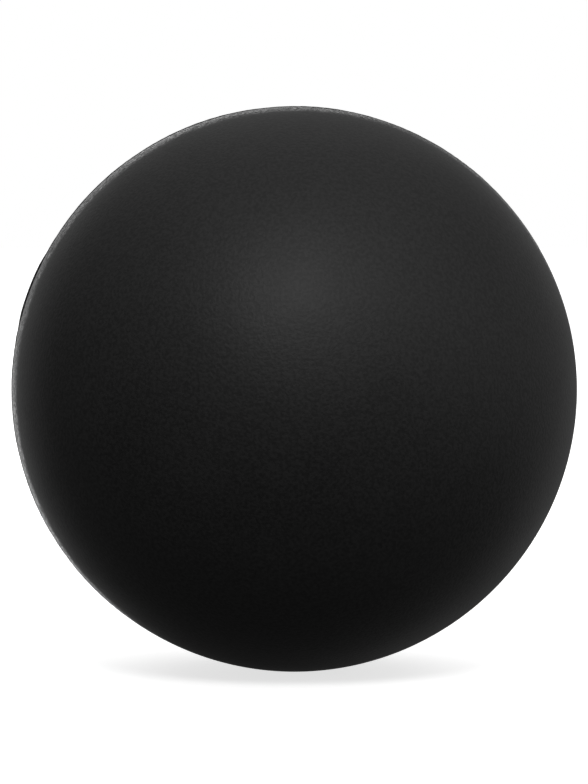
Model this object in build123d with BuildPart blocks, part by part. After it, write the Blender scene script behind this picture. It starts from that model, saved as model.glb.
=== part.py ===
"""A lacrosse ball: solid black rubber, pressed and cured in a two-part mould.

The ball is centred on the origin, with +Z up. The mould parts on the XZ plane, so the front half
faces -Y, the rear half faces +Y, and a ring of trimmed flash runs round the join between them.
Lengths are in millimetres.
"""

import os
from math import asin, degrees, sqrt

from build123d import *

# Driving dimensions
ball_diameter = 63.5  # the rules of play allow 62.7 to 64.7
flash_thickness = 0.5  # the web of rubber squeezed out between the mould's two faces
flash_height = 0.2  # how far the trimmed web stands proud of the ball
flash_root = 1.5  # how far the web reaches in under the ball's surface

# Where the ball's surface, the mould's faces and the flash web meet
ball_radius = ball_diameter / 2
web_half = flash_thickness / 2
web_bore_radius = ball_radius - flash_root
rim_radius = sqrt(ball_radius**2 - web_half**2)
crest_radius = ball_radius + flash_height

# Rear half: half a ball, with a step round its rim where half of the flash web lies
with BuildPart() as rear_half:
    with BuildSketch(Plane.XY):
        with BuildLine():
            rim_angle = degrees(asin(web_half / ball_radius))
            dome = CenterArc((0, 0), ball_radius, rim_angle, 90 - rim_angle)
            Polyline(dome @ 1, (0, 0), (web_bore_radius, 0), (web_bore_radius, web_half), dome @ 0)
        make_face()
    revolve(axis=Axis.Y)
rear_half.part.label = "rear_half"

# Front half: the rear half's mirror image in the parting plane
with BuildPart() as front_half:
    mirror(rear_half.part, about=Plane.XZ)
front_half.part.label = "front_half"

# Flash ring: the web between the two halves. Its trimmed edge is a low arc from rim to rim
with BuildPart() as flash_ring:
    with BuildSketch(Plane.XY):
        with BuildLine():
            crest = ThreePointArc((rim_radius, -web_half), (crest_radius, 0), (rim_radius, web_half))
            Polyline(crest @ 1, (web_bore_radius, web_half), (web_bore_radius, -web_half), crest @ 0)
        make_face()
    revolve(axis=Axis.Y)
flash_ring.part.label = "flash_ring"

os.makedirs("parts", exist_ok=True)
for piece in (front_half, rear_half, flash_ring):
    export_step(piece.part, f"parts/{piece.part.label}.step")
    print(piece.part.label, f"{piece.part.volume:.0f} mm3", piece.part.bounding_box().size)
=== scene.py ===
# %% [markdown]
# # A lacrosse ball, pressed in rubber
# A lacrosse ball is a slug of black rubber that is squeezed and cured in a two-part mould. It has no
# core and no cover, so there are only three things to see: the skin that the mould left, the line
# where the mould's halves met, and the way that matt black rubber takes the light. This lesson makes
# those three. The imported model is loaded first, because its sizes are the sizes used below.

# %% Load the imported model
from math import asin, atan2, cos, exp, hypot, pi, radians, sin, tan

import bpy
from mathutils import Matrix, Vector, noise


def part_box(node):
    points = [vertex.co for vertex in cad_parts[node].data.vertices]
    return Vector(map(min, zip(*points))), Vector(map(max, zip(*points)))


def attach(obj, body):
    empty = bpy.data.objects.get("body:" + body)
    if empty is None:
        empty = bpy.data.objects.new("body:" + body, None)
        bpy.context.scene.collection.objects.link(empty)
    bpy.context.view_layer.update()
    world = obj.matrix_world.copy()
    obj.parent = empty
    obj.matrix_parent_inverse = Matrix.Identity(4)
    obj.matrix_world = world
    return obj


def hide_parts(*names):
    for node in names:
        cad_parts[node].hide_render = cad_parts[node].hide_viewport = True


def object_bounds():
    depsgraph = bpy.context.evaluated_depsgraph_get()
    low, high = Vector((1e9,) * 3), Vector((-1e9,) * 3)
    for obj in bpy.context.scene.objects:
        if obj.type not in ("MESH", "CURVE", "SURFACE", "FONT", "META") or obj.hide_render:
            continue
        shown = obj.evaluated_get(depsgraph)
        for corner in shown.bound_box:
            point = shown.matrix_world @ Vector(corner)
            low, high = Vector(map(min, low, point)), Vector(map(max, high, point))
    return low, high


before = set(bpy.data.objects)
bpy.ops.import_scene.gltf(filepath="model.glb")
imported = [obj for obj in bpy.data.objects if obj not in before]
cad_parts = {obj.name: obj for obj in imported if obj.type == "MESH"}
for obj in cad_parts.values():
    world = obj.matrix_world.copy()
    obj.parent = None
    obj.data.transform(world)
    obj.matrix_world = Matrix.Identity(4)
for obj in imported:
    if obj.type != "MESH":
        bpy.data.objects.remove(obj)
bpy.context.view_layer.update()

MM = 0.001
ball_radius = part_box("rear_half")[1].y
crest_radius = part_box("flash_ring")[1].x
web_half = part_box("flash_ring")[1].y
print(f"ball radius {ball_radius / MM:.2f} mm, flash {web_half * 2 / MM:.2f} mm thick")

# %% [markdown]
# ## Two helpers for modelling
# Blender's operators act on whatever is selected, and the model that was just loaded is selected. So
# the first helper selects one piece and nothing else. The second adds a modifier, sets it up and
# applies it, so that what is left is a plain mesh.

# %% Select one piece, and finish it with a modifier


def take(piece):
    """Makes this piece the active one, and the only one that is selected."""
    bpy.ops.object.select_all(action="DESELECT")
    piece.select_set(True)
    bpy.context.view_layer.objects.active = piece


def finish_with(piece, kind, **settings):
    """Adds a modifier of that kind to the piece, sets it up and applies it."""
    modifier = piece.modifiers.new(kind.lower(), kind)
    for name, value in settings.items():
        setattr(modifier, name, value)
    take(piece)
    bpy.ops.object.modifier_apply(modifier=modifier.name)
    print(piece.name, kind.lower(), len(piece.data.polygons), "faces")


# %% [markdown]
# ## Half a ball, twice
# A UV sphere has two poles where its faces crowd together, and a matt highlight shows that as a
# pinch. A cube that is subdivided and then cast onto a sphere has no poles, and its faces are nearly
# all one size. It is cut where the flash begins. The part behind the cut is the rear half, and a copy
# of it, turned half round, is the front half.

# %% Model half a ball from a cube, and copy it
skin_levels = 7

bpy.ops.object.select_all(action="DESELECT")
bpy.ops.mesh.primitive_cube_add(size=2 * ball_radius)
rear_moulding = bpy.context.object
rear_moulding.name = "rear_moulding"
finish_with(rear_moulding, "SUBSURF", levels=skin_levels, render_levels=skin_levels)
finish_with(rear_moulding, "CAST", factor=1, size=ball_radius, radius=0, use_radius_as_size=False)

bpy.ops.object.mode_set(mode="EDIT")
bpy.ops.mesh.select_all(action="SELECT")
bpy.ops.mesh.bisect(plane_co=(0, web_half, 0), plane_no=(0, 1, 0), clear_inner=True)
bpy.ops.object.mode_set(mode="OBJECT")
print("half cut at the flash:", len(rear_moulding.data.polygons), "faces")

bpy.ops.object.duplicate()
front_moulding = bpy.context.object
front_moulding.name = "front_moulding"
bpy.ops.transform.rotate(value=pi, orient_axis="Z", center_override=(0, 0, 0))
bpy.ops.object.transform_apply(location=True, rotation=True, scale=True)

# %% [markdown]
# ## Uneven skin, and the faces that meet inside
# Rubber shrinks a little as it cures, and not evenly, so the skin is moved in and out by about a
# hundredth of a millimetre. That could be sculpted, but a slow cloud texture gives the same waves on
# every run. Then each half is closed: its rim is extruded inwards, under the flash, then on to the
# parting plane, and filled.

# %% Make the skin uneven and close each half
uneven_height = 0.02 * MM
uneven_width = 14 * MM
cloud_middle = 0.5
flash_root = 1.5 * MM
web_bore_radius = ball_radius - flash_root
skin_smoothing = radians(40)

slow_waves = bpy.data.textures.new("slow_waves", "CLOUDS")
slow_waves.noise_scale = uneven_width

for moulding, side in ((rear_moulding, 1), (front_moulding, -1)):
    finish_with(
        moulding,
        "DISPLACE",
        texture=slow_waves,
        texture_coords="LOCAL",
        strength=uneven_height,
        mid_level=cloud_middle,
    )
    bpy.ops.object.mode_set(mode="EDIT")
    bpy.ops.mesh.select_mode(type="EDGE")
    bpy.ops.mesh.select_all(action="DESELECT")
    bpy.ops.mesh.select_non_manifold()
    inwards = web_bore_radius / ball_radius
    bpy.ops.mesh.extrude_edges_move()
    bpy.ops.transform.resize(value=(inwards, 1, inwards), center_override=(0, side * web_half, 0))
    bpy.ops.mesh.extrude_edges_move(TRANSFORM_OT_translate={"value": (0, -side * web_half, 0)})
    bpy.ops.mesh.edge_face_add()
    bpy.ops.mesh.select_all(action="SELECT")
    bpy.ops.mesh.normals_make_consistent(inside=False)
    bpy.ops.object.mode_set(mode="OBJECT")
    bpy.ops.object.shade_smooth_by_angle(angle=skin_smoothing)
    print(moulding.name, "closed:", len(moulding.data.polygons), "faces")

# %% [markdown]
# ## The trimmed flash
# Where the mould's faces met, a thin web of rubber squeezed out, and a knife trimmed it nearly flush.
# What is left is a low, uneven ridge round the ball. A torus would be quick, but its section is a
# plain circle, so the ridge starts as a circle that is extruded again and again round its section,
# until it comes back to where it started. The ridge's crest is then raised by a weight that changes
# round the ball, with one longer tab that the knife left standing.

# %% Extrude a circle round the ridge's section
trim_steps = 1200
trim_low = 0.03 * MM
trim_high = crest_radius - ball_radius - trim_low
foot_depth = 0.1 * MM
shoulder_rise = 0.2
shoulder_spread = 0.8
crest_spread = 0.4
weld_distance = 0.0025 * MM

trim_foot = ball_radius - foot_depth
trim_shoulder = ball_radius + shoulder_rise * trim_low
trim_crest = ball_radius + trim_low
trim_section = (
    (web_bore_radius, -web_half),
    (trim_foot, -web_half),
    (trim_shoulder, -shoulder_spread * web_half),
    (trim_crest, -crest_spread * web_half),
    (trim_crest, crest_spread * web_half),
    (trim_shoulder, shoulder_spread * web_half),
    (trim_foot, web_half),
    (web_bore_radius, web_half),
    (web_bore_radius, -web_half),
)

bpy.ops.object.select_all(action="DESELECT")
reach, side = trim_section[0]
bpy.ops.mesh.primitive_circle_add(
    vertices=trim_steps, radius=reach, location=(0, side, 0), rotation=(pi / 2, 0, 0)
)
flash_trim = bpy.context.object
flash_trim.name = "flash_trim"
bpy.ops.object.transform_apply(location=True, rotation=True, scale=True)
bpy.ops.object.mode_set(mode="EDIT")
bpy.ops.mesh.select_all(action="SELECT")
for next_reach, next_side in trim_section[1:]:
    bpy.ops.mesh.extrude_edges_move(TRANSFORM_OT_translate={"value": (0, next_side - side, 0)})
    grow = next_reach / reach
    bpy.ops.transform.resize(value=(grow, 1, grow), center_override=(0, next_side, 0))
    reach, side = next_reach, next_side
bpy.ops.mesh.select_all(action="SELECT")
bpy.ops.mesh.remove_doubles(threshold=weld_distance)
bpy.ops.mesh.normals_make_consistent(inside=False)
bpy.ops.object.mode_set(mode="OBJECT")
print("flash ridge:", len(flash_trim.data.polygons), "faces")

# %% Raise the crest unevenly
usual_height = 0.35
long_waves = 0.25
long_waves_round = 5
short_waves = 0.12
short_waves_round = 45
tab_angle = radians(159)
tab_half = radians(8)
tab_squareness = 6
tab_height = 0.8
tab_waves = 0.5
ridge_smoothing = radians(50)


def trimmed_height(angle):
    """How much of its full height the knife left of the flash at this angle, from 0 to 1."""
    round_ball = Vector((cos(angle), sin(angle), 0))
    long_wave = long_waves * noise.noise(round_ball * long_waves_round)
    short_wave = short_waves * noise.noise(round_ball * short_waves_round)
    waves = usual_height + long_wave + short_wave
    tab = exp(-(((angle - tab_angle) / tab_half) ** tab_squareness))
    return min(max(waves, tab * (tab_height + tab_waves * waves), 0), 1)


crest = flash_trim.vertex_groups.new(name="crest")
for vertex in flash_trim.data.vertices:
    if hypot(vertex.co.x, vertex.co.z) > ball_radius:
        crest.add([vertex.index], trimmed_height(atan2(vertex.co.z, vertex.co.x)), "REPLACE")
finish_with(flash_trim, "DISPLACE", strength=trim_high, mid_level=0, vertex_group="crest")
bpy.ops.object.shade_smooth_by_angle(angle=ridge_smoothing)

# %% [markdown]
# ## Shader maths in Python
# A finish made of nodes is easier to read as arithmetic. This class wraps one socket of a shader.
# Python's operators on it add Math nodes, and one method adds a node of any other kind.

# %% A class for writing shaders


class Wire:
    """One socket in a material's node tree. Arithmetic on wires adds Math nodes to the tree."""

    def __init__(self, tree, socket=None):
        self.tree = tree
        self.socket = socket

    def node(self, kind, settings, sockets, output=0):
        """Adds a node, sets it up, fills or links its sockets, and returns one of its outputs."""
        made = self.tree.nodes.new(kind)
        for name, value in settings.items():
            setattr(made, name, value)
        for name, value in sockets.items():
            if isinstance(value, Wire):
                self.tree.links.new(value.socket, made.inputs[name])
            else:
                made.inputs[name].default_value = value
        return Wire(self.tree, made.outputs[output])

    def maths(self, operation, *values):
        return self.node("ShaderNodeMath", {"operation": operation}, dict(enumerate(values)))

    def __add__(self, other):
        return self.maths("ADD", self, other)

    def __sub__(self, other):
        return self.maths("SUBTRACT", self, other)

    def __rsub__(self, other):
        return self.maths("SUBTRACT", other, self)

    def __mul__(self, other):
        return self.maths("MULTIPLY", self, other)

    def __abs__(self):
        return self.maths("ABSOLUTE", self)

    __radd__ = __add__
    __rmul__ = __mul__


# %% [markdown]
# ## Patterns on the rubber
# An image could be wrapped round the ball, but it would need a seam. These patterns are solid ones,
# read from Object coordinates, so the ball is cut from them as from a block. The coordinates are
# turned into millimetres first, so that each pattern's size is a length on the ball.

# %% Helpers for a finish
mix_share = 0
mix_low_colour = 6
mix_high_colour = 7
mix_colour_out = 2


def new_finish(name):
    """A new material, a wire to write its nodes with, and its shader."""
    material = bpy.data.materials.new(name)
    material.use_nodes = True
    tree = material.node_tree
    return material, Wire(tree), tree.nodes["Principled BSDF"]


def in_millimetres(wire):
    """The place on the part, in millimetres, for patterns to be read from."""
    place = wire.node("ShaderNodeTexCoord", {}, {}, "Object")
    return wire.node("ShaderNodeVectorMath", {"operation": "SCALE"}, {0: place, "Scale": 1 / MM})


def cloud(place, size, detail=1.0):
    """A cloudy pattern from 0 to 1 whose clouds are about that many millimetres across."""
    return place.node("ShaderNodeTexNoise", {}, {"Vector": place, "Scale": 1 / size, "Detail": detail})


def ramp(value, low, high, shape="SMOOTHSTEP"):
    """Rises from 0 to 1 while the value goes from low to high."""
    sockets = {"Value": value, "From Min": low, "From Max": high}
    return value.node("ShaderNodeMapRange", {"interpolation_type": shape}, sockets)


def tint(share, low_colour, high_colour):
    """A colour that goes from the low one to the high one while the share goes from 0 to 1."""
    sockets = {mix_share: share, mix_low_colour: low_colour, mix_high_colour: high_colour}
    return share.node("ShaderNodeMix", {"data_type": "RGBA"}, sockets, mix_colour_out)


def feed(shader, colour, roughness, height, depth):
    """Links a colour, a roughness and a bump of that depth to the shader."""
    bump = height.node("ShaderNodeBump", {}, {"Distance": depth, "Height": height})
    for name, value in (("Base Color", colour), ("Roughness", roughness), ("Normal", bump)):
        value.tree.links.new(value.socket, shader.inputs[name])


# %% [markdown]
# ## Black rubber, straight from the mould
# The mould was blasted with grit, so the skin has no shine, and a grain of about a third of a
# millimetre. The grain is too fine for the mesh, so it is a bump. Its colour follows the bump: the
# peaks are a little greyer, partly from the dust they catch and partly as painted light, and the pits
# are darker as painted shade. A slower pattern, where wax has bloomed to the surface, changes the
# colour and the roughness from place to place. Beside the parting line a wheel has buffed the grain's
# peaks and left fine scuffs that run along the line. The pits stay matt, so the band keeps its grain,
# and its polished peaks draw the bright rim in the picture.

# %% The moulded rubber finish
grain_size = 0.36
grain_detail = 2.0
grain_depth = 0.012 * MM
grain_low = 0.35
grain_high = 0.65
bloom_size = 9.0
bloom_share = 0.3
# The grain's pits are painted this dark as painted shade, and its peaks this grey, partly dust and
# partly painted light.
shaded_pit_black = (0.007, 0.007, 0.007, 1)
dust_and_lit_peak_grey = (0.026, 0.026, 0.026, 1)
skin_roughness = 0.52
bloom_roughness = 0.1
buffed_half_width = 6.9
buffed_edge = 2.0
buffed_edge_noise = 1.6
buffed_edge_size = 2.25
buffed_roughness = 0.24
scuff_length = 6.0
scuff_width = 0.3
scuff_detail = 2.0
scuff_roughness = 0.3


def buffed_band(place):
    """1 in the buffed band beside the parting line, and 0 away from it, with an uneven edge."""
    from_parting = abs(place.node("ShaderNodeSeparateXYZ", {}, {0: place}, "Y"))
    wavering = from_parting + buffed_edge_noise * (cloud(place, buffed_edge_size) - cloud_middle)
    return 1 - ramp(wavering, buffed_half_width - buffed_edge, buffed_half_width)


def scuffed_roughness(place):
    """The roughness of the buffed peaks: a cloud that is drawn out along the parting line."""
    stretch = (1 / scuff_length, 1 / scuff_width, 1 / scuff_length)
    along_line = place.node("ShaderNodeVectorMath", {"operation": "MULTIPLY"}, {0: place, 1: stretch})
    scuffs = cloud(along_line, size=1, detail=scuff_detail)
    return buffed_roughness + scuff_roughness * (scuffs - cloud_middle)


def moulded_rubber():
    """Matt black rubber with the grain of a blasted mould, buffed beside the parting line."""
    material, wire, shader = new_finish("moulded_rubber")
    place = in_millimetres(wire)
    grain = ramp(cloud(place, grain_size, grain_detail), grain_low, grain_high, "LINEAR")
    bloom = cloud(place, bloom_size)
    buffed_peaks = buffed_band(place) * grain

    # The colour follows the grain's height: painted shade in the pits and painted light on the peaks,
    # with some dust, and the bloom's own tone mixed in.
    colour = tint(bloom_share * bloom + (1 - bloom_share) * grain, shaded_pit_black, dust_and_lit_peak_grey)
    moulded = skin_roughness + bloom_roughness * bloom
    roughness = moulded + buffed_peaks * (scuffed_roughness(place) - moulded)
    feed(shader, colour, roughness, grain, grain_depth)
    return material


rubber_skin = moulded_rubber()
for moulding, half in ((front_moulding, "front_half"), (rear_moulding, "rear_half")):
    moulding.data.materials.append(rubber_skin)
    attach(moulding, "root")
    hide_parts(half)
print(rubber_skin.name, len(rubber_skin.node_tree.nodes), "nodes")

# %% [markdown]
# ## Trimmed rubber
# The knife tore the flash as much as it cut it, so the ridge is rougher than the skin. It could share
# the skin's finish, but then the ridge would be lost in the buffed band, so it gets a coarser grain
# of its own from the same helpers.

# %% The trimmed rubber finish
torn_size = 0.5
torn_detail = 4.0
torn_depth = 0.06 * MM
torn_black = (0.010, 0.010, 0.0101, 1)
torn_grey = (0.020, 0.020, 0.0202, 1)
torn_roughness = 0.55
torn_roughness_spread = 0.2


def trimmed_rubber():
    """Black rubber that a knife has cut and torn."""
    material, wire, shader = new_finish("trimmed_rubber")
    torn = cloud(in_millimetres(wire), torn_size, torn_detail)
    roughness = torn_roughness + torn_roughness_spread * torn
    feed(shader, tint(torn, torn_black, torn_grey), roughness, torn, torn_depth)
    return material


torn_edge = trimmed_rubber()
flash_trim.data.materials.append(torn_edge)
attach(flash_trim, "root")
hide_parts("flash_ring")
print(torn_edge.name, len(torn_edge.node_tree.nodes), "nodes")

# %% [markdown]
# ## The camera
# The ball's outline in the picture is a circle, and its place and size there fix where the camera
# looks and how long its lens is. The camera stands a little above the ball's middle and a little to
# the left, so that the parting line just shows along the rim at the upper left.

# %% Place the camera
image_width_px = 588
image_height_px = 784
ball_centre_px = (294.6, 389.3)
ball_radius_px = 282.5
camera_azimuth = radians(-3)
camera_elevation = radians(2.7)
camera_distance = 0.45


def way_to(azimuth, elevation):
    """The direction from the ball to a place that far round it and above it."""
    level = cos(elevation)
    return Vector((sin(azimuth) * level, -cos(azimuth) * level, sin(elevation)))


camera_data = bpy.data.cameras.new("camera")
camera = bpy.data.objects.new("camera", camera_data)
bpy.context.scene.collection.objects.link(camera)
bpy.context.scene.camera = camera
camera.location = way_to(camera_azimuth, camera_elevation) * camera_distance
camera.rotation_euler = (-camera.location).to_track_quat("-Z", "Y").to_euler()
lens_px = ball_radius_px / tan(asin(ball_radius / camera_distance))
camera_data.lens = camera_data.sensor_width * lens_px / image_height_px
camera_data.shift_x = (image_width_px / 2 - ball_centre_px[0]) / image_height_px
camera_data.shift_y = (ball_centre_px[1] - image_height_px / 2) / image_height_px
print(f"lens {camera_data.lens:.1f} mm")

# %% [markdown]
# ## The floor
# The ball stands on white paper. The paper glows a little, and gets a sun of its own that lights
# nothing else, so that it is white from edge to edge and still catches a faint shadow under the ball.
# The ball doesn't see the paper: in the picture its lower half is dark, as it is over a dark table.

# %% Lay the floor and light it
floor_size = 8.0
floor_glow = 0.72
floor_sun = 1.2
floor_sun_softness = radians(100)
paper_white = (0.9, 0.9, 0.9, 1)
paper_roughness = 1
paper_shine = 0
pure_white = (1, 1, 1, 1)

floor_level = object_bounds()[0].z
bpy.ops.object.select_all(action="DESELECT")
bpy.ops.mesh.primitive_plane_add(size=floor_size, location=(0, 0, floor_level))
floor = bpy.context.object
floor.name = "floor"
white_paper, _, paper = new_finish("white_paper")
paper.inputs["Base Color"].default_value = paper_white
paper.inputs["Roughness"].default_value = paper_roughness
paper.inputs["Specular IOR Level"].default_value = paper_shine
paper.inputs["Emission Color"].default_value = pure_white
paper.inputs["Emission Strength"].default_value = floor_glow
floor.data.materials.append(white_paper)
floor.visible_diffuse = False
floor.visible_glossy = False
floor.visible_shadow = False

lit_by_sun = bpy.data.collections.new("lit_by_sun")
lit_by_sun.objects.link(floor)
bpy.ops.object.light_add(type="SUN")
sun = bpy.context.object
sun.name = "floor_sun"
sun.data.energy = floor_sun
sun.data.angle = floor_sun_softness
sun.light_linking.receiver_collection = lit_by_sun
print(f"floor laid {-floor_level / MM:.2f} mm below the ball's middle")

# %% [markdown]
# ## Studio light
# Black rubber shows little but what it reflects. A picture of a studio could light it, but lamps can
# be moved one at a time, so each lamp here is a soft round panel with one job. The key lamp makes the
# highlight, and two fills lift the right side. Five wide panels behind the ball draw the soft light
# round its edge, and three small ones, almost straight behind it, draw the thin bright line on the
# buffed band.

# %% Hang the lamps
lamp_distance = 1.0


def hang_lamp(name, azimuth, elevation, width, power):
    """Hangs a round soft panel that faces the ball, and that the camera doesn't see."""
    place = way_to(radians(azimuth), radians(elevation)) * lamp_distance
    turn = (-place).to_track_quat("-Z", "Y").to_euler()
    bpy.ops.object.light_add(type="AREA", location=place, rotation=turn)
    lamp = bpy.context.object
    lamp.name = name
    lamp.data.shape = "DISK"
    lamp.data.size = width
    lamp.data.energy = power
    lamp.visible_camera = False
    print(f"{name}: {width} m wide, {power} W")


hang_lamp("key_lamp", azimuth=-4, elevation=40, width=0.3, power=2.45)
hang_lamp("upper_fill", azimuth=45, elevation=40, width=1.0, power=0.82)
hang_lamp("right_fill", azimuth=75, elevation=10, width=0.8, power=0.53)
hang_lamp("back_panel_top", azimuth=180, elevation=35, width=1.0, power=0.44)
hang_lamp("back_panel_right", azimuth=135, elevation=0, width=1.0, power=0.66)
hang_lamp("back_panel_left", azimuth=-160, elevation=0, width=0.8, power=0.89)
hang_lamp("low_panel_right", azimuth=150, elevation=-30, width=0.6, power=0.17)
hang_lamp("low_panel_left", azimuth=-150, elevation=-20, width=0.6, power=0.12)
hang_lamp("rim_panel_top", azimuth=180, elevation=12, width=0.3, power=0.17)
hang_lamp("rim_panel_left", azimuth=-168, elevation=-8, width=0.3, power=0.17)
hang_lamp("rim_panel_right", azimuth=160, elevation=12, width=0.3, power=0.09)

# %% [markdown]
# ## The room
# The room fills in what the lamps leave black. It is a dim grey that gets lighter overhead. The
# camera sees it as plain white, like the paper, so that no edge shows where the floor ends.

# %% Fill the room with dim light
room_level = 0.06
room_overhead = 0.27

world = bpy.data.worlds.new("studio")
bpy.context.scene.world = world
world.use_nodes = True
room = Wire(world.node_tree)
direction = room.node("ShaderNodeTexCoord", {}, {}, "Generated")
upward = room.node("ShaderNodeSeparateXYZ", {}, {0: direction}, "Z")
overhead = ramp(upward, 0, 1)
seen = room.node("ShaderNodeLightPath", {}, {}, "Is Camera Ray")
brightness = room.maths("MAXIMUM", seen, room_level + room_overhead * overhead)
background = world.node_tree.nodes["Background"]
background.inputs["Color"].default_value = pure_white
world.node_tree.links.new(brightness.socket, background.inputs["Strength"])
bpy.context.scene.view_settings.view_transform = "Standard"
print(f"room light from {room_level} below to {room_level + room_overhead:.2f} overhead")
